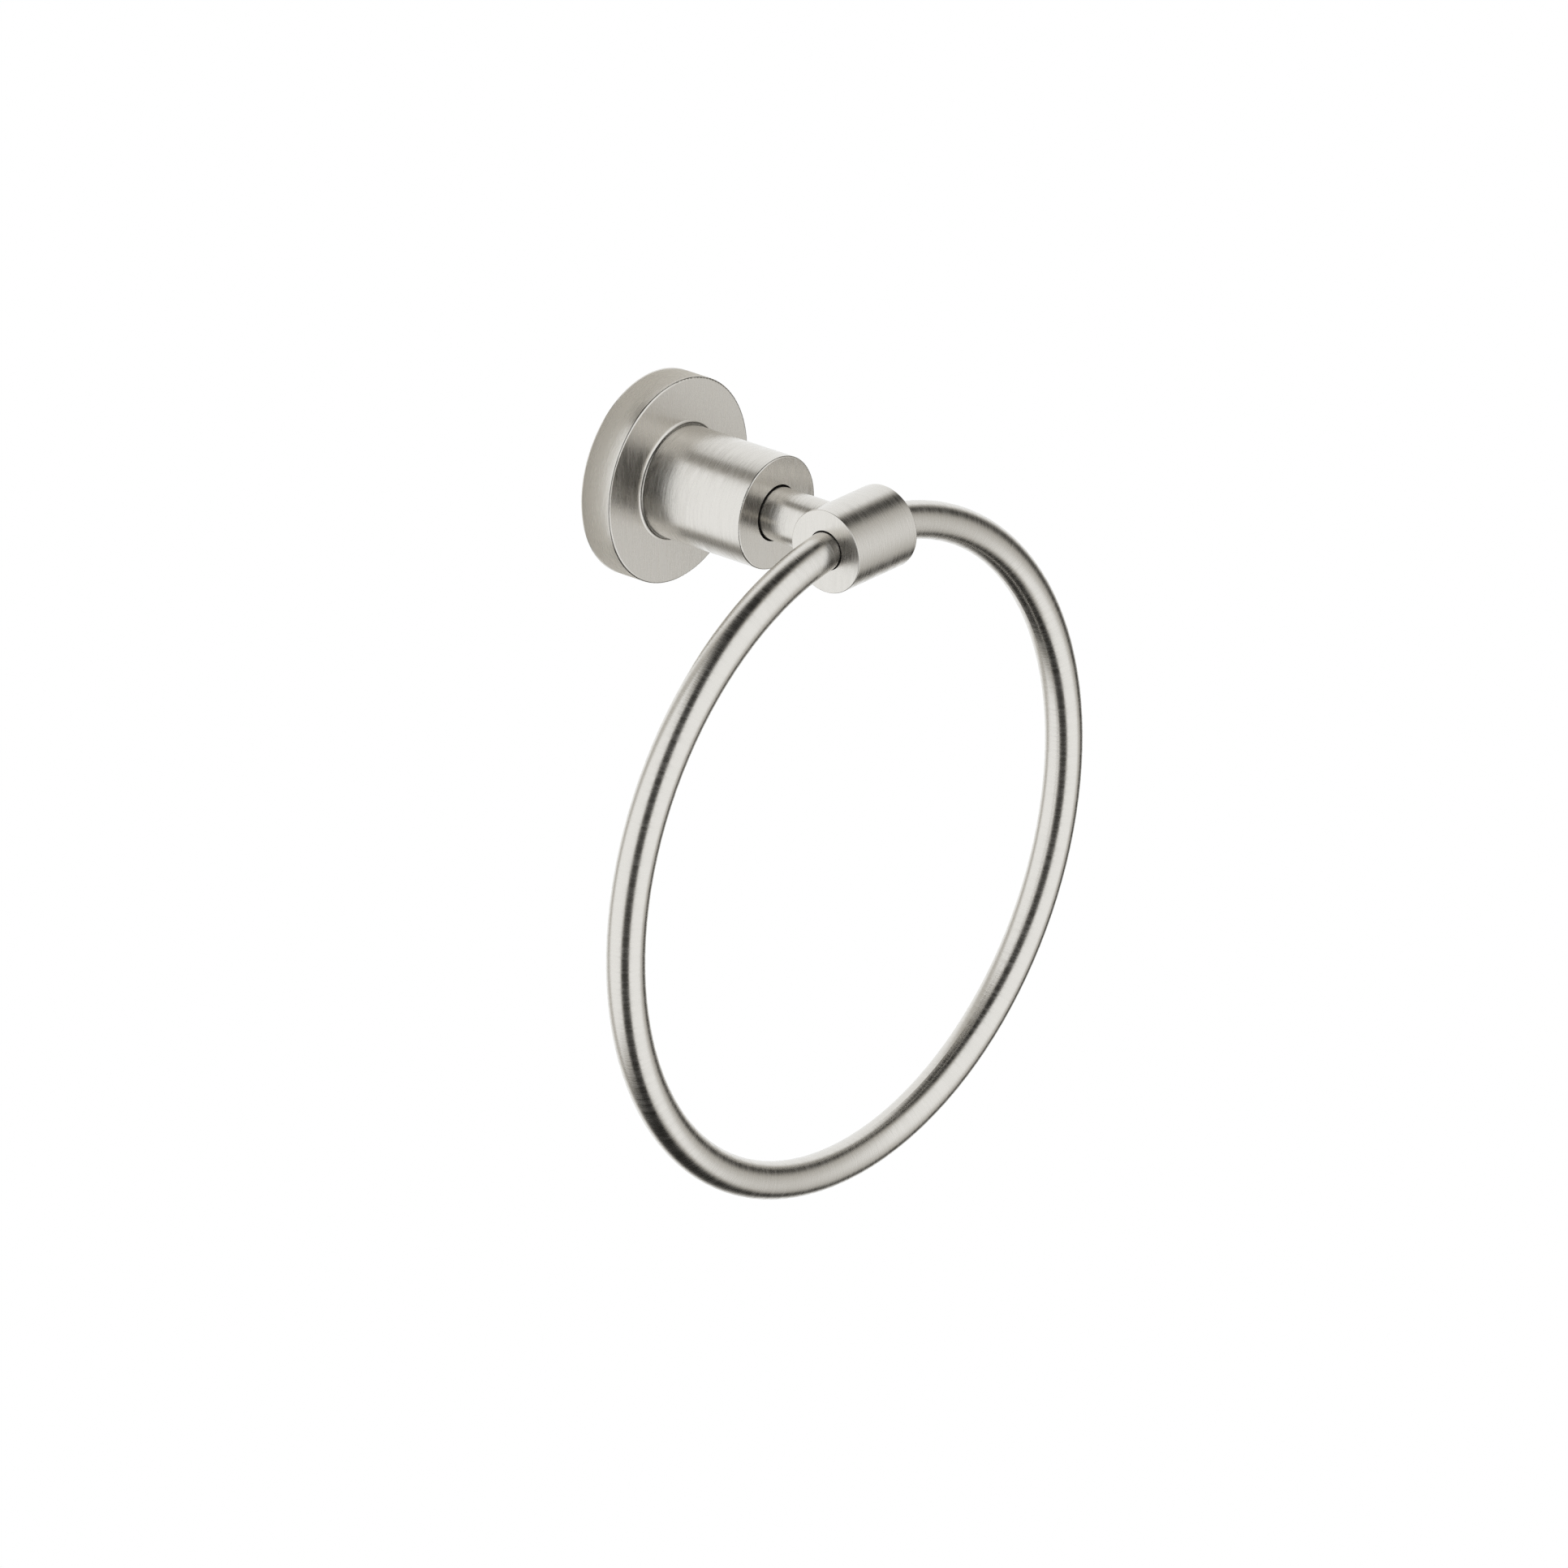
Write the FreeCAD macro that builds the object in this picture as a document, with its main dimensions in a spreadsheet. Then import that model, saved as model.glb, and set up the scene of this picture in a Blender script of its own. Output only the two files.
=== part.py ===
"""Towel ring for a wall: flange, post, stem, hub and ring, with the bracket and screws inside.

Millimetres. The wall is the plane Y = 0 and the post's axis is the Y axis, so "out" is a distance
from the wall along -Y. +Z is up, and the ring hangs in a plane of constant Y.
"""

import FreeCAD
import Part
import os
import re

from FreeCAD import Placement, Rotation, Vector
from Sketcher import Constraint

DIMENSIONS = {
    # Flange: a turned cover, open towards the wall
    "flange_diameter": 54.8,
    "flange_depth": 9.4,
    "flange_wall": 2.0,
    "flange_rim_radius": 0.5,
    # Raised collar round its opening: its outside is a hollow curve that dips just under the face
    "collar_diameter": 32.18,
    "collar_curve": 0.95,
    "collar_height": 0.79,
    "collar_dip": 0.01,
    # Bracket: a disc against the wall, inside the flange, with a necked spigot
    "bracket_thickness": 3.0,
    "bracket_gap": 0.2,
    "wall_hole_diameter": 4.5,
    "wall_hole_inset": 7.2,
    "countersink": 1.9,
    "spigot_diameter": 17.0,
    "spigot_tip": 2.5,
    "spigot_edge": 0.6,
    "neck_diameter": 15.0,
    "neck_width": 6.0,
    # Post: its shoulder holds the flange to the wall
    "post_diameter": 30.0,
    "post_length": 32.7,
    "post_gap": 0.1,
    "post_edge_radius": 0.4,
    "shoulder_diameter": 35.0,
    "shoulder_depth": 2.4,
    "web_thickness": 3.0,
    # Stem: stands in a wider bore in the post's front, on a short register
    "stem_diameter": 14.0,
    "stem_bore_gap": 0.5,
    "register_diameter": 10.0,
    "register_depth": 1.5,
    # Hub and ring: the bar runs through a passage that curves with it. The ring's diameter is its
    # centre line's, and the bar's rise is from the hub's axis to that line at the hub's middle
    "hub_out": 67.7,
    "hub_diameter": 22.1,
    "hub_length": 23.0,
    "hub_edge_radius": 0.2,
    "ring_diameter": 176.0,
    "bar_diameter": 9.9,
    "bar_rise": 1.1,
    "bar_gap": 0.3,
    # Grub screw that holds the post on the spigot
    "set_screw_offset": 4.6,
    "set_screw_diameter": 5.0,
    "set_screw_length": 6.0,
    "set_screw_key": 2.5,
    # Socket head screw that holds the stem in the post, and its washer
    "bolt_diameter": 6.0,
    "bolt_length": 14.0,
    "bolt_head_diameter": 10.0,
    "bolt_head_height": 6.0,
    "bolt_head_gap": 0.8,
    "bolt_key": 5.0,
    "bolt_hole_gap": 0.2,
    "washer_diameter": 11.4,
    "washer_thickness": 1.6,
    # Stud that holds the hub on the stem, with a dog point in the ring
    "stud_diameter": 6.0,
    "stud_grip": 10.0,
    "stud_key": 3.0,
    "dog_diameter": 3.5,
    "dog_seat_depth": 1.6,
    # Common to the screws and fits
    "screw_edge": 0.4,
    "key_depth": 2.5,
    "fit_gap": 0.1,
    "thread_gap": 0.05,
    "end_gap": 0.2,
}

# Distances out from the wall that several pieces share
FLANGE_SEAT = "(flange_depth - flange_wall)"
SHOULDER_BACK = f"({FLANGE_SEAT} - shoulder_depth)"
POST_FRONT = "(flange_depth + post_length)"
SET_SCREW_OUT = "(flange_depth + set_screw_offset)"
SPIGOT_END = f"({SET_SCREW_OUT} + neck_width / 2 + spigot_tip)"
HEAD_BACK = f"({SPIGOT_END} + bolt_head_gap)"
WEB_BACK = f"({HEAD_BACK} + bolt_head_height + washer_thickness)"
STEM_BACK = f"({WEB_BACK} + web_thickness)"
BOLT_TIP = f"({HEAD_BACK} + bolt_head_height + bolt_length)"
HUB_BACK = "(hub_out - hub_diameter / 2)"
BAR_BACK = "(hub_out - bar_diameter / 2)"
DOG_SEAT = f"({BAR_BACK} + dog_seat_depth)"

ALONG_POST = "XZ_Plane"
ALONG_HUB = "YZ_Plane"
UPRIGHT = "XY_Plane"
SAME_PLANE = 1e-6
X_AXIS = Vector(1, 0, 0)
Y_AXIS = Vector(0, 1, 0)
Z_AXIS = Vector(0, 0, 1)
OUTWARD = Rotation(X_AXIS, 90)
SIDEWAYS = Rotation(Y_AXIS, 90)

doc = FreeCAD.newDocument("towel_ring")
sheet = doc.addObject("Spreadsheet::Sheet", "Dimensions")
for row, (name, value) in enumerate(DIMENSIONS.items(), 1):
    sheet.set(f"A{row}", str(value))
    sheet.setAlias(f"A{row}", name)
doc.recompute()


def formula(text):
    """The text with each dimension's name turned into its cell of the sheet."""
    def cell(word):
        return f"Dimensions.{word[0]}" if word[0] in DIMENSIONS else word[0]
    return re.sub(r"[a-z_]+", cell, text)


def bind(item, formulas):
    for prop, text in formulas.items():
        item.setExpression(prop, formula(text))


def new_body(name):
    return doc.addObject("PartDesign::Body", name)


def attach(item, body, plane, start, x="0", y="0"):
    """Put the item on one of the body's origin planes, moved along it and start off it."""
    origin_plane = next(o for o in body.Origin.OriginFeatures if o.Role == plane)
    item.AttachmentSupport = [(origin_plane, "")]
    item.MapMode = "FlatFace"
    bind(item, {
        "AttachmentOffset.Base.x": x,
        "AttachmentOffset.Base.y": y,
        "AttachmentOffset.Base.z": start,
    })


def circle_sketch(body, name, plane, diameter, start, x, y):
    sketch = body.newObject("Sketcher::SketchObject", name)
    attach(sketch, body, plane, start, x, y)
    circle = sketch.addGeometry(Part.Circle(Vector(0, 0, 0), Vector(0, 0, 1), 1))
    # Point 3 of a circle is its centre, and point 1 of geometry -1 is the sketch's origin
    sketch.addConstraint(Constraint("Coincident", circle, 3, -1, 1))
    size = sketch.addConstraint(Constraint("Diameter", circle, 2))
    sketch.renameConstraint(size, "diameter")
    bind(sketch, {"Constraints.diameter": diameter})
    return sketch


def turn(body, name, diameter, start, length, plane=ALONG_POST, x="0", y="0"):
    """Add a cylinder to the body, from start along the plane's normal."""
    pad = body.newObject("PartDesign::Pad", name)
    pad.Profile = circle_sketch(body, f"{name}_circle", plane, diameter, start, x, y)
    bind(pad, {"Length": length})
    doc.recompute()
    return pad


def bore(body, name, diameter, start, length, plane=ALONG_POST, x="0", y="0"):
    """Cut a cylinder out of the body, from start along the plane's normal."""
    volume = body.Shape.Volume
    pocket = body.newObject("PartDesign::Pocket", name)
    pocket.Profile = circle_sketch(body, f"{name}_circle", plane, diameter, start, x, y)
    pocket.Reversed = True
    bind(pocket, {"Length": length})
    doc.recompute()
    if not body.Shape.Volume < volume:
        raise RuntimeError(f"{name} cuts nothing")
    return pocket


def key_socket(body, name, key, start, plane=ALONG_POST, x="0", y="0"):
    """Cut a hexagon socket for a key, from start along the plane's normal."""
    volume = body.Shape.Volume
    prism = body.newObject("PartDesign::SubtractivePrism", name)
    prism.Polygon = 6
    attach(prism, body, plane, start, x, y)
    bind(prism, {"Circumradius": f"{key} / 2 / cos(30)", "Height": "key_depth"})
    doc.recompute()
    if not body.Shape.Volume < volume:
        raise RuntimeError(f"{name} cuts nothing")
    return prism


def end_rims(shape, direction):
    """Names of the circles in the shape's last plane along direction, smallest first."""
    circles = [
        (edge.Curve.Center.dot(direction), edge.Curve.Radius, f"Edge{number}")
        for number, edge in enumerate(shape.Edges, 1)
        if isinstance(edge.Curve, Part.Circle)
    ]
    last = max(place for place, _, _ in circles)
    ends = [(radius, name) for place, radius, name in circles if last - place < SAME_PLANE]
    return [name for _, name in sorted(ends)]


def dress(body, kind, name, edges, prop, size):
    """Round or bevel edges of the body's shape so far: kind is Fillet or Chamfer."""
    base = body.Tip
    feature = body.newObject(f"PartDesign::{kind}", name)
    feature.Base = (base, edges)
    bind(feature, {prop: size})
    doc.recompute()
    return feature


def cylinder(name, diameter, length, turned, y, x="0"):
    """A plain cylinder, turned OUTWARD or SIDEWAYS, that starts at x and y."""
    item = doc.addObject("Part::Cylinder", name)
    item.Placement = Placement(Vector(0, 0, 0), turned)
    bind(item, {
        "Radius": f"({diameter}) / 2",
        "Height": length,
        "Placement.Base.x": x,
        "Placement.Base.y": y,
    })
    return item


def torus(name, section_diameter):
    """A round section swept once round the ring's centre line."""
    item = doc.addObject("Part::Torus", name)
    item.Placement = Placement(Vector(0, 0, 0), OUTWARD)
    bind(item, {
        "Radius1": "ring_diameter / 2",
        "Radius2": f"({section_diameter}) / 2",
        "Placement.Base.y": "-hub_out",
        "Placement.Base.z": "bar_rise - ring_diameter / 2",
    })
    return item


def cut(name, base, tool):
    result = doc.addObject("Part::Cut", name)
    result.Base = base
    result.Tool = tool
    doc.recompute()
    return result


def make_flange():
    body = new_body("flange")
    turn(body, "flange_disc", "flange_diameter", "0", "flange_depth")
    rim = end_rims(body.Shape, -Y_AXIS)
    dress(body, "Fillet", "flange_rim", rim, "Radius", "flange_rim_radius")
    turn(body, "flange_collar", "collar_diameter", "flange_depth", "collar_height")
    hollow = body.newObject("PartDesign::SubtractiveTorus", "collar_curve_cut")
    attach(hollow, body, ALONG_POST, "flange_depth + collar_curve - collar_dip")
    bind(hollow, {"Radius1": "collar_diameter / 2", "Radius2": "collar_curve"})
    doc.recompute()
    bore(body, "flange_hollow", "flange_diameter - 2 * flange_wall", "0", FLANGE_SEAT)
    opening_depth = "flange_wall + collar_height"
    bore(body, "flange_opening", "post_diameter + 2 * post_gap", FLANGE_SEAT, opening_depth)
    return body


def make_wall_bracket():
    body = new_body("wall_bracket")
    disc_radius = "(flange_diameter / 2 - flange_wall - bracket_gap)"
    turn(body, "bracket_disc", f"2 * {disc_radius}", "0", "bracket_thickness")
    for name, side in (("upper", ""), ("lower", "-")):
        height = f"{side}({disc_radius} - wall_hole_inset)"
        bore(body, f"{name}_wall_hole", "wall_hole_diameter", "0", "bracket_thickness", y=height)
    holes = end_rims(body.Shape, -Y_AXIS)[:-1]
    dress(body, "Chamfer", "countersinks", holes, "Size", "countersink")
    neck_back = f"({SET_SCREW_OUT} - neck_width / 2)"
    turn(body, "spigot_root", "spigot_diameter", "bracket_thickness", f"{neck_back} - bracket_thickness")
    turn(body, "spigot_neck", "neck_diameter", neck_back, "neck_width")
    turn(body, "spigot_end", "spigot_diameter", f"{neck_back} + neck_width", "spigot_tip")
    dress(body, "Chamfer", "spigot_bevel", end_rims(body.Shape, -Y_AXIS), "Size", "spigot_edge")
    return body


def make_post():
    body = new_body("post")
    turn(body, "post_shoulder", "shoulder_diameter", SHOULDER_BACK, "shoulder_depth")
    turn(body, "post_bar", "post_diameter", FLANGE_SEAT, f"{POST_FRONT} - {FLANGE_SEAT}")
    socket_end = f"({SPIGOT_END} + end_gap)"
    socket_diameter = "(spigot_diameter + 2 * fit_gap)"
    bore(body, "spigot_socket", socket_diameter, SHOULDER_BACK, f"{socket_end} - {SHOULDER_BACK}")
    head_bore = "washer_diameter + 2 * fit_gap"
    bore(body, "head_bore", head_bore, socket_end, f"{WEB_BACK} - {socket_end}")
    bore(body, "bolt_hole", "bolt_diameter + 2 * bolt_hole_gap", WEB_BACK, "web_thickness")
    register_back = f"({STEM_BACK} - register_depth)"
    bore(body, "register_bore", "register_diameter + 2 * fit_gap", register_back, "register_depth")
    stem_bore = "stem_diameter + 2 * stem_bore_gap"
    bore(body, "stem_bore", stem_bore, STEM_BACK, f"{POST_FRONT} - {STEM_BACK}")
    bore(
        body, "set_screw_hole", "set_screw_diameter + 2 * thread_gap",
        "-post_diameter / 2", "post_diameter / 2", plane=UPRIGHT, y=f"-{SET_SCREW_OUT}",
    )
    rim = end_rims(body.Shape, -Y_AXIS)[-1:]
    dress(body, "Fillet", "post_rim", rim, "Radius", "post_edge_radius")
    return body


def make_post_set_screw():
    body = new_body("post_set_screw")
    outer_end = "-(neck_diameter / 2 + set_screw_length)"
    place = {"plane": UPRIGHT, "y": f"-{SET_SCREW_OUT}"}
    turn(body, "set_screw_bar", "set_screw_diameter", outer_end, "set_screw_length", **place)
    ends = end_rims(body.Shape, Z_AXIS) + end_rims(body.Shape, -Z_AXIS)
    dress(body, "Chamfer", "set_screw_bevels", ends, "Size", "screw_edge")
    key_socket(body, "set_screw_socket", "set_screw_key", outer_end, **place)
    return body


def make_stem():
    blank = new_body("stem_blank")
    turn(blank, "stem_register", "register_diameter", f"{STEM_BACK} - register_depth", "register_depth")
    turn(blank, "stem_bar", "stem_diameter", STEM_BACK, f"hub_out - {STEM_BACK}")
    back = f"({STEM_BACK} - register_depth)"
    thread = "bolt_diameter + 2 * thread_gap"
    bore(blank, "bolt_thread", thread, back, f"{BOLT_TIP} + end_gap - {back}")
    stud_back = f"({HUB_BACK} - stud_grip - end_gap)"
    bore(blank, "stud_thread", "stud_diameter + 2 * thread_gap", stud_back, f"hub_out - {stud_back}")
    hub_shape = cylinder(
        "stem_saddle", "hub_diameter", "2 * stem_diameter", SIDEWAYS, "-hub_out", x="-stem_diameter",
    )
    return cut("stem", blank, hub_shape)


def make_stem_washer():
    body = new_body("stem_washer")
    back = f"({WEB_BACK} - washer_thickness)"
    turn(body, "washer_disc", "washer_diameter", back, "washer_thickness")
    bore(body, "washer_hole", "bolt_diameter + 2 * bolt_hole_gap", back, "washer_thickness")
    return body


def make_stem_bolt():
    body = new_body("stem_bolt")
    turn(body, "bolt_head", "bolt_head_diameter", HEAD_BACK, "bolt_head_height")
    dress(body, "Chamfer", "bolt_head_bevel", end_rims(body.Shape, Y_AXIS), "Size", "screw_edge")
    shank_back = f"({HEAD_BACK} + bolt_head_height)"
    turn(body, "bolt_shank", "bolt_diameter", shank_back, f"{BOLT_TIP} - {shank_back}")
    dress(body, "Chamfer", "bolt_tip_bevel", end_rims(body.Shape, -Y_AXIS), "Size", "screw_edge")
    key_socket(body, "bolt_socket", "bolt_key", HEAD_BACK)
    return body


def make_hub():
    blank = new_body("hub_blank")
    bar = turn(blank, "hub_bar", "hub_diameter", "0", "hub_length", plane=ALONG_HUB, x="-hub_out")
    bar.SideType = "Symmetric"
    doc.recompute()
    rims = end_rims(blank.Shape, X_AXIS) + end_rims(blank.Shape, -X_AXIS)
    dress(blank, "Fillet", "hub_rims", rims, "Radius", "hub_edge_radius")
    passage = torus("hub_passage", "bar_diameter + 2 * bar_gap")
    thread = "stud_diameter + 2 * thread_gap"
    stud_hole = cylinder("hub_thread", thread, "hub_diameter / 2", OUTWARD, f"-{HUB_BACK}")
    holes = doc.addObject("Part::MultiFuse", "hub_holes")
    holes.Shapes = [passage, stud_hole]
    return cut("hub", blank, holes)


def make_ring():
    bar = torus("ring_bar", "bar_diameter")
    seat_diameter = "dog_diameter + 2 * fit_gap"
    seat = cylinder("dog_seat", seat_diameter, f"{DOG_SEAT} - {HUB_BACK}", OUTWARD, f"-{HUB_BACK}")
    return cut("ring", bar, seat)


def make_hub_stud():
    body = new_body("hub_stud")
    thread_back = f"({HUB_BACK} - stud_grip)"
    thread_end = f"({BAR_BACK} - bar_gap - end_gap)"
    turn(body, "stud_thread_bar", "stud_diameter", thread_back, f"{thread_end} - {thread_back}")
    ends = end_rims(body.Shape, Y_AXIS) + end_rims(body.Shape, -Y_AXIS)
    dress(body, "Chamfer", "stud_bevels", ends, "Size", "screw_edge")
    turn(body, "stud_dog", "dog_diameter", thread_end, f"{DOG_SEAT} - end_gap - {thread_end}")
    key_socket(body, "stud_socket", "stud_key", thread_back)
    return body


sub_parts = [
    make_flange(),
    make_wall_bracket(),
    make_post(),
    make_post_set_screw(),
    make_stem(),
    make_stem_washer(),
    make_stem_bolt(),
    make_hub(),
    make_ring(),
    make_hub_stud(),
]
doc.recompute()

for item in doc.Objects:
    if "Invalid" in item.State or "Error" in item.State:
        raise RuntimeError(f"{item.Label} could not be built: {item.State}")
for item in sub_parts:
    if item.Shape.isNull() or not item.Shape.isValid() or len(item.Shape.Solids) != 1:
        raise RuntimeError(f"{item.Label} is not one valid solid")

os.makedirs("parts", exist_ok=True)
for item in sub_parts:
    item.Shape.exportStep(f"parts/{item.Label}.step")
    box = item.Shape.BoundBox
    print(f"{item.Label:16} {item.Shape.Volume:10.1f} mm3  {box}")
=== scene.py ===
"""A wall towel ring in brushed nickel: finishes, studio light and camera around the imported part.

Lengths are in metres and angles in degrees. The part's own frame has +Z up and the wall at Y = 0,
with the room on the -Y side.
"""

import math

import bmesh
import bpy
from mathutils import Matrix, Vector


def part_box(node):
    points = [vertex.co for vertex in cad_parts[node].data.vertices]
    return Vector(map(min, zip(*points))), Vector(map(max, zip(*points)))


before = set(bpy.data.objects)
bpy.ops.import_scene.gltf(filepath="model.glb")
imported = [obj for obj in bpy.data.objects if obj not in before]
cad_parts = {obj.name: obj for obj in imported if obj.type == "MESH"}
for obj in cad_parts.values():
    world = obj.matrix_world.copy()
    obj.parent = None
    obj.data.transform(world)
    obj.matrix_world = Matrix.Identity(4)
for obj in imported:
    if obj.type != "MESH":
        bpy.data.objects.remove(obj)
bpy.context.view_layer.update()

# The camera, as found from the photograph's edges.
IMAGE_SIZE = 1932
IMAGE_CENTRE = (IMAGE_SIZE - 1) / 2
HUB_IN_IMAGE = Vector((1052.3, 663.1))
FOCAL_PIXELS = 13220.0
SENSOR_WIDTH_MM = 36.0
CAMERA_AZIMUTH = -50.375
CAMERA_ELEVATION = 24.007
CAMERA_ROLL = 0.722
CAMERA_DISTANCE = 2.714
CAMERA_CLIP = (0.01, 20.0)

# The studio: a faint glow all round, and tall panels of light with dark gaps between them. Each left
# and right side is an azimuth, the width of its soft edge, and how far it leans in at LEAN_ELEVATION.
# Each low and high side is an elevation and a width. Azimuth 0 is in front, and 90 to the right.
PANELS = (
    {"light": 0.025, "left": (-180, 14, 0), "right": (180, 14, 0), "low": (-50, 24), "high": (50, 24)},
    {"light": 1.0, "left": (-159, 16, 5), "right": (-76, 16, 6), "low": (-54, 24), "high": (58, 24)},
    {"light": 1.0, "left": (-33, 12, 7), "right": (45, 16, 2), "low": (-61, 24), "high": (62, 26)},
    {"light": 0.58, "left": (45, 16, -2), "right": (67, 16, 0), "low": (-60, 24), "high": (62, 26)},
    {"light": 0.93, "left": (98, 26, 6), "right": (176, 14, 0), "low": (-56, 24), "high": (60, 24)},
    {"light": 0.56, "left": (176, 14, 0), "right": (201, 16, 0), "low": (-52, 24), "high": (53, 24)},
)
LEAN_ELEVATION = 45
PANEL_COLOUR = (1.13, 1.15, 1.17)
EDGE_COLOUR = (0.512, 0.495, 0.458)
GAP_COLOUR = (0.020, 0.0195, 0.018)

# A pale card in the wall's plane, round the flange, which the camera doesn't see: it shows only in
# what the metal near the wall reflects.
COLLAR_WIDTH = 0.0100
COLLAR_GAP = 0.0003
COLLAR_STEPS = 128
COLLAR_COLOUR = (0.97, 0.94, 0.88)

# A pale round floor, far enough below that it isn't in the photograph's frame.
FLOOR_DROP = 1.3
FLOOR_RADIUS = 0.7
FLOOR_STEPS = 96
FLOOR_COLOUR = (0.8, 0.8, 0.8)
FLOOR_GLOW = 0.6
CARD_ROUGHNESS = 0.9

NICKEL = (0.675, 0.650, 0.608)
ZINC = (0.62, 0.63, 0.64)
STEEL = (0.45, 0.45, 0.46)

# The brushed finish. Each density is in noise cells per metre across the scratches, and then along
# them in the two other directions. The flat faces are a little rougher, with shallower scratches.
HAIRLINE_DENSITY = (4500.0, 600.0, 600.0)
LINE_DENSITY = (1500.0, 150.0, 150.0)
LINE_HEIGHT = 0.8
LINE_RANGE = (0.2, 0.8)
SCRATCH_DEPTH = 1.4e-5
FLAT_SHALLOWER = 0.5
ROUGHNESS = 0.258
ROUGHNESS_SPREAD = 0.05
FLAT_ROUGHER = 0.01
ANISOTROPY = 0.25
FLAT_NORMAL = 0.985


def unit_vector(azimuth, elevation):
    """The direction at an azimuth from the front, towards the right, and an elevation."""
    a = math.radians(azimuth)
    e = math.radians(elevation)
    return Vector((math.sin(a) * math.cos(e), -math.cos(a) * math.cos(e), math.sin(e)))


class Nodes:
    """Short ways to write a node tree."""

    def __init__(self, tree):
        self.tree = tree
        tree.nodes.clear()

    def add(self, kind, **settings):
        node = self.tree.nodes.new(kind)
        for name, value in settings.items():
            setattr(node, name, value)
        return node

    def put(self, socket, value):
        """Sets a socket to a value, or links it to an output."""
        if isinstance(value, bpy.types.NodeSocket):
            self.tree.links.new(value, socket)
        else:
            socket.default_value = value

    def math(self, operation, *values):
        node = self.add("ShaderNodeMath", operation=operation)
        for socket, value in zip(node.inputs, values):
            self.put(socket, value)
        return node.outputs[0]

    def vector(self, operation, *values):
        node = self.add("ShaderNodeVectorMath", operation=operation)
        for socket, value in zip(node.inputs, values):
            self.put(socket, value)
        return node.outputs["Value" if operation == "LENGTH" else "Vector"]

    def combine(self, x, y, z):
        node = self.add("ShaderNodeCombineXYZ")
        for socket, value in zip(node.inputs, (x, y, z)):
            self.put(socket, value)
        return node.outputs[0]

    def split(self, vector):
        node = self.add("ShaderNodeSeparateXYZ")
        self.put(node.inputs[0], vector)
        return node.outputs

    def ramp(self, value, low, high, start=0.0, end=1.0):
        """Goes smoothly from start to end as value goes from low to high."""
        node = self.add("ShaderNodeMapRange", interpolation_type="SMOOTHSTEP")
        self.put(node.inputs["Value"], value)
        self.put(node.inputs["From Min"], low)
        self.put(node.inputs["From Max"], high)
        self.put(node.inputs["To Min"], start)
        self.put(node.inputs["To Max"], end)
        return node.outputs["Result"]

    def mix(self, kind, factor, a, b):
        """A mix of two colours, where kind is RGBA, or of two vectors, where it is VECTOR."""
        node = self.add("ShaderNodeMix", data_type=kind)
        self.put(node.inputs["Factor"], factor)
        self.put(node.inputs["A"], a)
        self.put(node.inputs["B"], b)
        return node.outputs["Result"]

    def scratches(self, grain, density):
        """Noise drawn out along the grain."""
        node = self.add("ShaderNodeTexNoise")
        self.put(node.inputs["Vector"], self.vector("MULTIPLY", grain, density))
        self.put(node.inputs["Scale"], 1.0)
        self.put(node.inputs["Detail"], 1.0)
        return node.outputs["Fac"]


def new_material(name):
    """A material with one shader. Returns it with its nodes and that shader."""
    material = bpy.data.materials.new(name)
    material.use_nodes = True
    n = Nodes(material.node_tree)
    shader = n.add("ShaderNodeBsdfPrincipled")
    output = n.add("ShaderNodeOutputMaterial")
    n.put(output.inputs["Surface"], shader.outputs[0])
    return material, n, shader


def make_camera():
    azimuth = math.radians(CAMERA_AZIMUTH)
    back = unit_vector(CAMERA_AZIMUTH, CAMERA_ELEVATION)
    right = Vector((math.cos(azimuth), math.sin(azimuth), 0))
    up = back.cross(right)
    roll = Matrix.Rotation(math.radians(CAMERA_ROLL), 3, back)
    right = roll @ right
    up = roll @ up
    low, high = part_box("hub")
    hub = (Vector(low) + Vector(high)) / 2
    aside = (HUB_IN_IMAGE.x - IMAGE_CENTRE) / FOCAL_PIXELS * CAMERA_DISTANCE
    above = (IMAGE_CENTRE - HUB_IN_IMAGE.y) / FOCAL_PIXELS * CAMERA_DISTANCE
    data = bpy.data.cameras.new("camera")
    data.sensor_width = SENSOR_WIDTH_MM
    data.lens = FOCAL_PIXELS / IMAGE_SIZE * data.sensor_width
    data.clip_start, data.clip_end = CAMERA_CLIP
    camera = bpy.data.objects.new("camera", data)
    place = hub + back * CAMERA_DISTANCE - right * aside - up * above
    turn = Matrix((right, up, back)).transposed().to_4x4()
    camera.matrix_world = Matrix.Translation(place) @ turn
    bpy.context.collection.objects.link(camera)
    bpy.context.scene.camera = camera


def panel_light(n, azimuth, elevation, panel):
    """The panel's light in the directions that it covers, and 0 elsewhere."""
    middle = (panel["left"][0] + panel["right"][0]) / 2
    aside = n.math("WRAP", n.math("SUBTRACT", azimuth, math.radians(middle)), math.pi, -math.pi)
    height = n.math("DIVIDE", elevation, math.radians(LEAN_ELEVATION))
    lean = n.math("MULTIPLY", height, height)
    light = panel["light"]
    for name, way in (("left", 1), ("right", -1)):
        place, soft, inwards = panel[name]
        leaning = n.math("MULTIPLY", lean, math.radians(inwards) * way)
        edge = n.math("ADD", math.radians(place - middle), leaning)
        reach = math.radians(soft) / 2 * way
        light = n.math("MULTIPLY", n.ramp(n.math("SUBTRACT", aside, edge), -reach, reach), light)
    for name, way in (("low", 1), ("high", -1)):
        place, soft = panel[name]
        edge = math.radians(place)
        reach = math.radians(soft) / 2 * way
        light = n.math("MULTIPLY", n.ramp(elevation, edge - reach, edge + reach), light)
    return light


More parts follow.
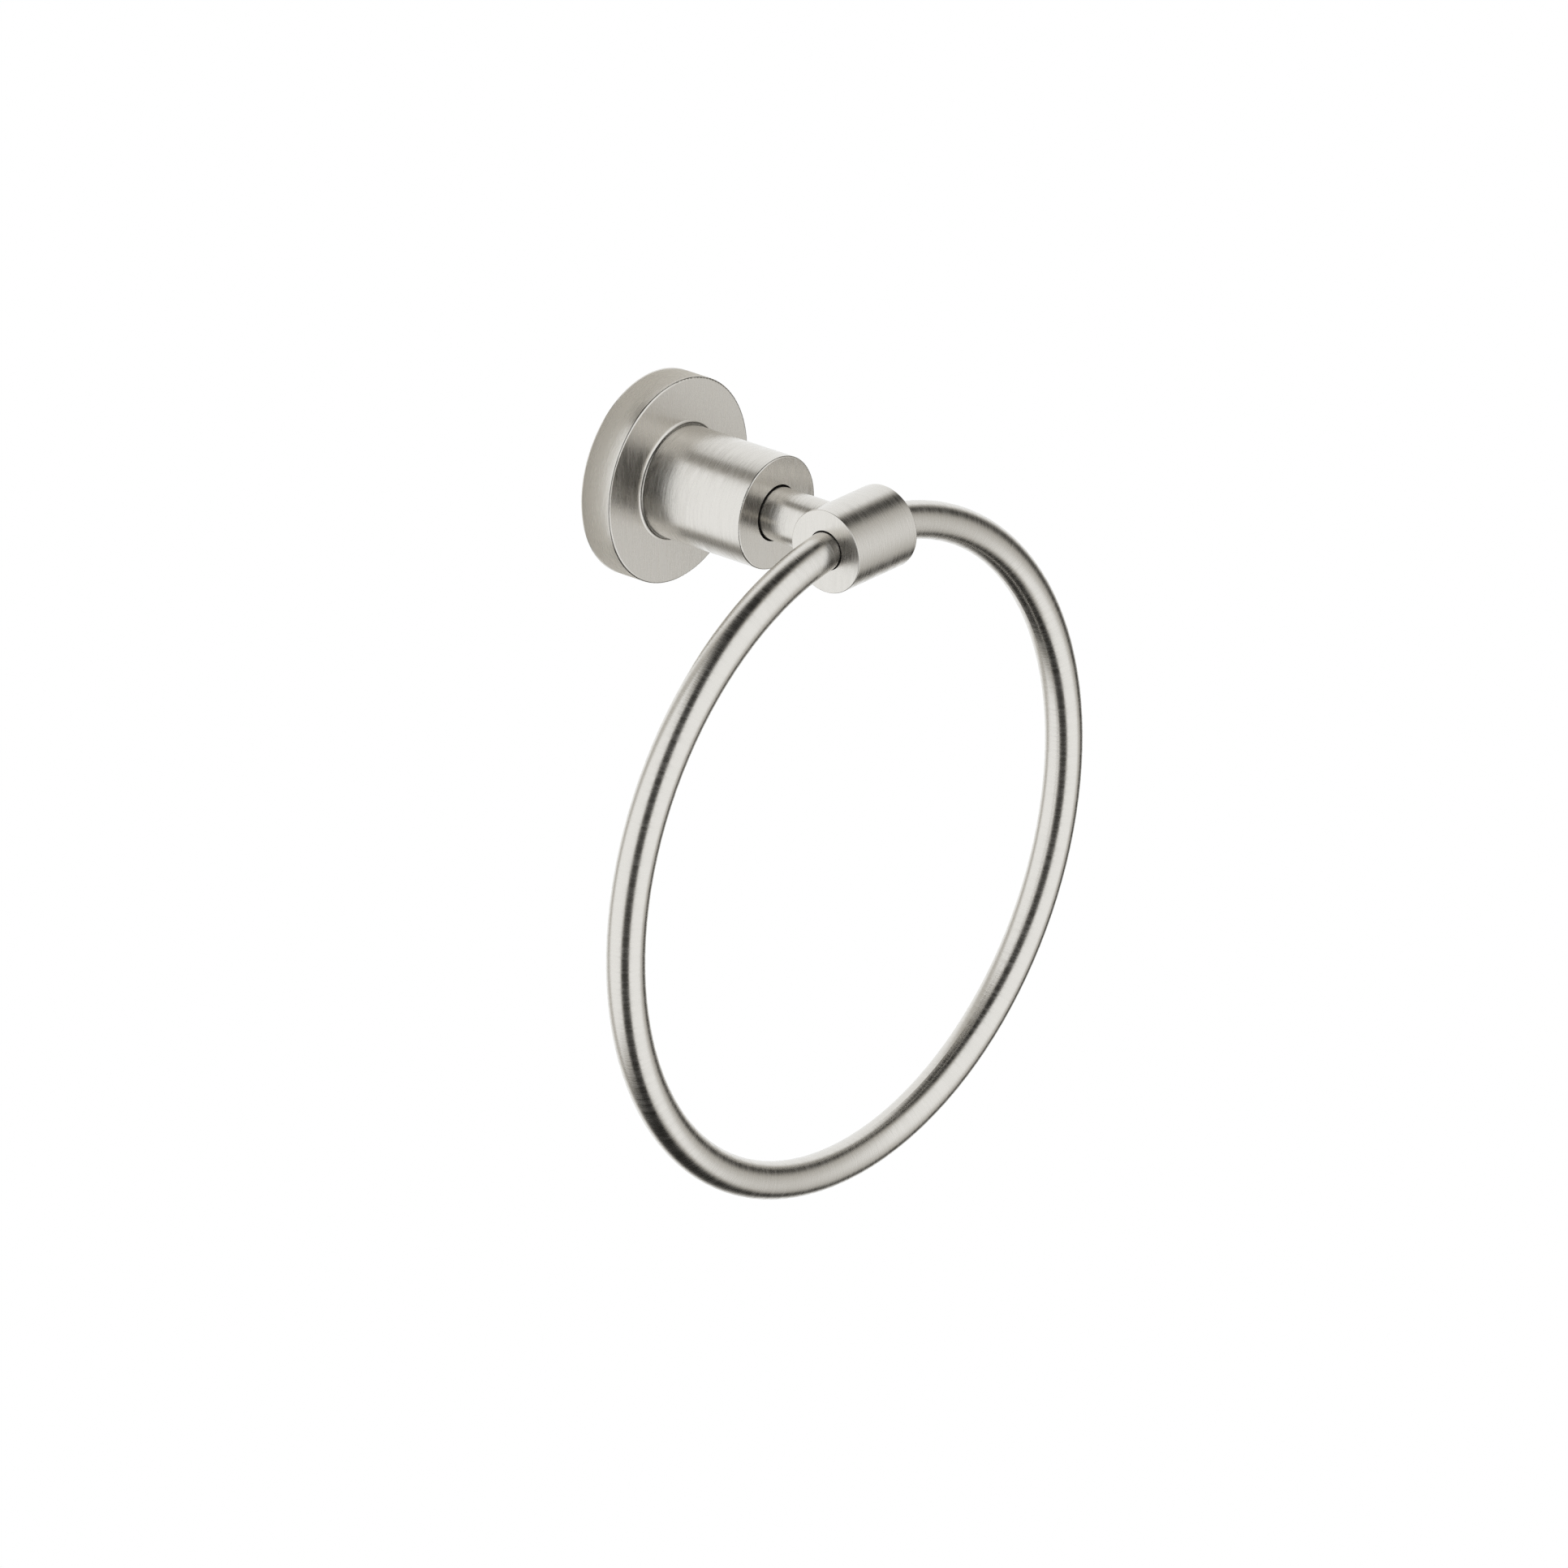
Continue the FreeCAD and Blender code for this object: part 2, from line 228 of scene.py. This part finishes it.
def make_world():
    """White to the camera and through glass, and the studio's panels and gaps to all other rays."""
    world = bpy.data.worlds.new("studio")
    world.use_nodes = True
    n = Nodes(world.node_tree)
    x, y, z = n.split(n.add("ShaderNodeTexCoord").outputs["Generated"])
    azimuth = n.math("ARCTAN2", x, n.math("MULTIPLY", y, -1.0))
    elevation = n.math("ARCSINE", z)
    inside_any = 0.0
    for panel in PANELS:
        inside_any = n.math("ADD", panel_light(n, azimuth, elevation, panel), inside_any)
    light = n.add("ShaderNodeValToRGB")
    n.put(light.inputs["Fac"], inside_any)
    stops = light.color_ramp.elements
    stops[0].color = (*GAP_COLOUR, 1)
    stops[1].color = (*PANEL_COLOUR, 1)
    stops.new(0.5).color = (*EDGE_COLOUR, 1)
    rays = n.add("ShaderNodeLightPath")
    seen = n.math("MAXIMUM", rays.outputs["Is Camera Ray"], rays.outputs["Is Transmission Ray"])
    white = n.combine(1.0, 1.0, 1.0)
    background = n.add("ShaderNodeBackground")
    n.put(background.inputs["Color"], n.mix("RGBA", seen, light.outputs["Color"], white))
    output = n.add("ShaderNodeOutputWorld")
    n.put(output.inputs["Surface"], background.outputs[0])
    bpy.context.scene.world = world


def make_stage_piece(name, shape, card, colour):
    """Turns a bmesh into an object of the stage, on a matt card. Returns it with its shader's nodes."""
    mesh = bpy.data.meshes.new(name)
    shape.to_mesh(mesh)
    shape.free()
    piece = bpy.data.objects.new(name, mesh)
    bpy.context.collection.objects.link(piece)
    material, n, shader = new_material(card)
    n.put(shader.inputs["Base Color"], (*colour, 1))
    n.put(shader.inputs["Roughness"], CARD_ROUGHNESS)
    mesh.materials.append(material)
    return piece, n, shader


def make_floor():
    shape = bmesh.new()
    bmesh.ops.create_circle(shape, cap_ends=True, radius=FLOOR_RADIUS, segments=FLOOR_STEPS)
    floor, n, shader = make_stage_piece("floor", shape, "pale_floor", FLOOR_COLOUR)
    floor.location.z = -FLOOR_DROP
    rays = n.add("ShaderNodeLightPath")
    glow = n.math("MULTIPLY", rays.outputs["Is Camera Ray"], FLOOR_GLOW)
    n.put(shader.inputs["Emission Color"], (1, 1, 1, 1))
    n.put(shader.inputs["Emission Strength"], glow)
    floor.visible_glossy = False


def make_collar():
    low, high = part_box("flange")
    inner = (high[0] - low[0]) / 2 + COLLAR_GAP
    shape = bmesh.new()
    turn = [2 * math.pi * i / COLLAR_STEPS for i in range(COLLAR_STEPS)]
    rings = []
    for radius in (inner, inner + COLLAR_WIDTH):
        rings.append([shape.verts.new((radius * math.sin(t), 0, radius * math.cos(t))) for t in turn])
    for i in range(COLLAR_STEPS):
        j = (i + 1) % COLLAR_STEPS
        shape.faces.new((rings[0][i], rings[0][j], rings[1][j], rings[1][i]))
    collar, _, _ = make_stage_piece("wall_collar", shape, "collar_card", COLLAR_COLOUR)
    collar.visible_camera = False


def brushed(name, colour, directions):
    """Brushed metal. directions(n, place) gives the direction across its scratches, a place measured
    across them and along them in metres, and 1 on flat faces, 0 elsewhere."""
    material, n, shader = new_material(name)
    place = n.add("ShaderNodeTexCoord").outputs["Object"]
    across, grain, flat = directions(n, place)
    hairlines = n.scratches(grain, HAIRLINE_DENSITY)
    lines = n.scratches(grain, LINE_DENSITY)
    bump = n.add("ShaderNodeBump")
    bump.inputs["Strength"].default_value = 1.0
    shallower = n.math("SUBTRACT", 1.0, n.math("MULTIPLY", flat, FLAT_SHALLOWER))
    n.put(bump.inputs["Distance"], n.math("MULTIPLY", shallower, SCRATCH_DEPTH))
    n.put(bump.inputs["Height"], n.math("ADD", hairlines, n.math("MULTIPLY", lines, LINE_HEIGHT)))
    rough = n.ramp(lines, *LINE_RANGE, ROUGHNESS - ROUGHNESS_SPREAD, ROUGHNESS + ROUGHNESS_SPREAD)
    n.put(shader.inputs["Base Color"], (*colour, 1))
    n.put(shader.inputs["Metallic"], 1)
    n.put(shader.inputs["Anisotropic"], ANISOTROPY)
    n.put(shader.inputs["Roughness"], n.math("ADD", rough, n.math("MULTIPLY", flat, FLAT_ROUGHER)))
    n.put(shader.inputs["Tangent"], across)
    n.put(shader.inputs["Normal"], bump.outputs[0])
    return material


def flat_or_side(n, axis):
    """1 where the surface faces along an axis, and 0 on the sides turned about that axis."""
    normal = n.split(n.add("ShaderNodeNewGeometry").outputs["Normal"])
    return n.math("GREATER_THAN", n.math("ABSOLUTE", normal[axis]), FLAT_NORMAL)


def turned(n, place):
    """A piece turned about Y: scratched round its sides, and up and down its flat faces."""
    flat = flat_or_side(n, 1)
    x, y, z = n.split(place)
    across = n.combine(flat, n.math("SUBTRACT", 1.0, flat), 0.0)
    side_grain = n.combine(y, x, z)
    flat_grain = n.combine(x, y, z)
    return across, n.mix("VECTOR", flat, side_grain, flat_grain), flat


def cross_turned(n, place):
    """A piece turned about X: scratched round its sides, and up and down its flat faces."""
    flat = flat_or_side(n, 0)
    x, y, z = n.split(place)
    across = n.combine(n.math("SUBTRACT", 1.0, flat), flat, 0.0)
    side_grain = n.combine(x, y, z)
    flat_grain = n.combine(y, x, z)
    return across, n.mix("VECTOR", flat, side_grain, flat_grain), flat


def bent(n, place):
    """The ring: scratched round its bar."""
    low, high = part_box("ring")
    centre = (Vector(low) + Vector(high)) / 2
    radius = (high[0] - low[0] - (high[1] - low[1])) / 2
    from_centre = n.vector("SUBTRACT", place, tuple(centre))
    across = n.vector("CROSS_PRODUCT", from_centre, (0.0, 1.0, 0.0))
    x, y, z = n.split(from_centre)
    turn = n.math("ARCTAN2", x, n.math("MULTIPLY", z, -1.0))
    out = n.vector("LENGTH", n.combine(x, 0.0, z))
    return across, n.combine(n.math("MULTIPLY", turn, radius), y, out), 0.0


def dress(material, *nodes):
    for node in nodes:
        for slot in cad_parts[node].material_slots:
            slot.material = material


def dress_all():
    dress(brushed("nickel_turned", NICKEL, turned), "flange", "post", "stem")
    dress(brushed("nickel_hub", NICKEL, cross_turned), "hub")
    dress(brushed("nickel_ring", NICKEL, bent), "ring")
    dress(brushed("zinc_plate", ZINC, turned), "wall_bracket")
    steel = brushed("screw_steel", STEEL, turned)
    dress(steel, "post_set_screw", "stem_bolt", "stem_washer", "hub_stud")


make_camera()
make_world()
make_floor()
make_collar()
dress_all()
bpy.context.scene.view_settings.view_transform = "Standard"
bpy.context.scene.cycles.blur_glossy = 0
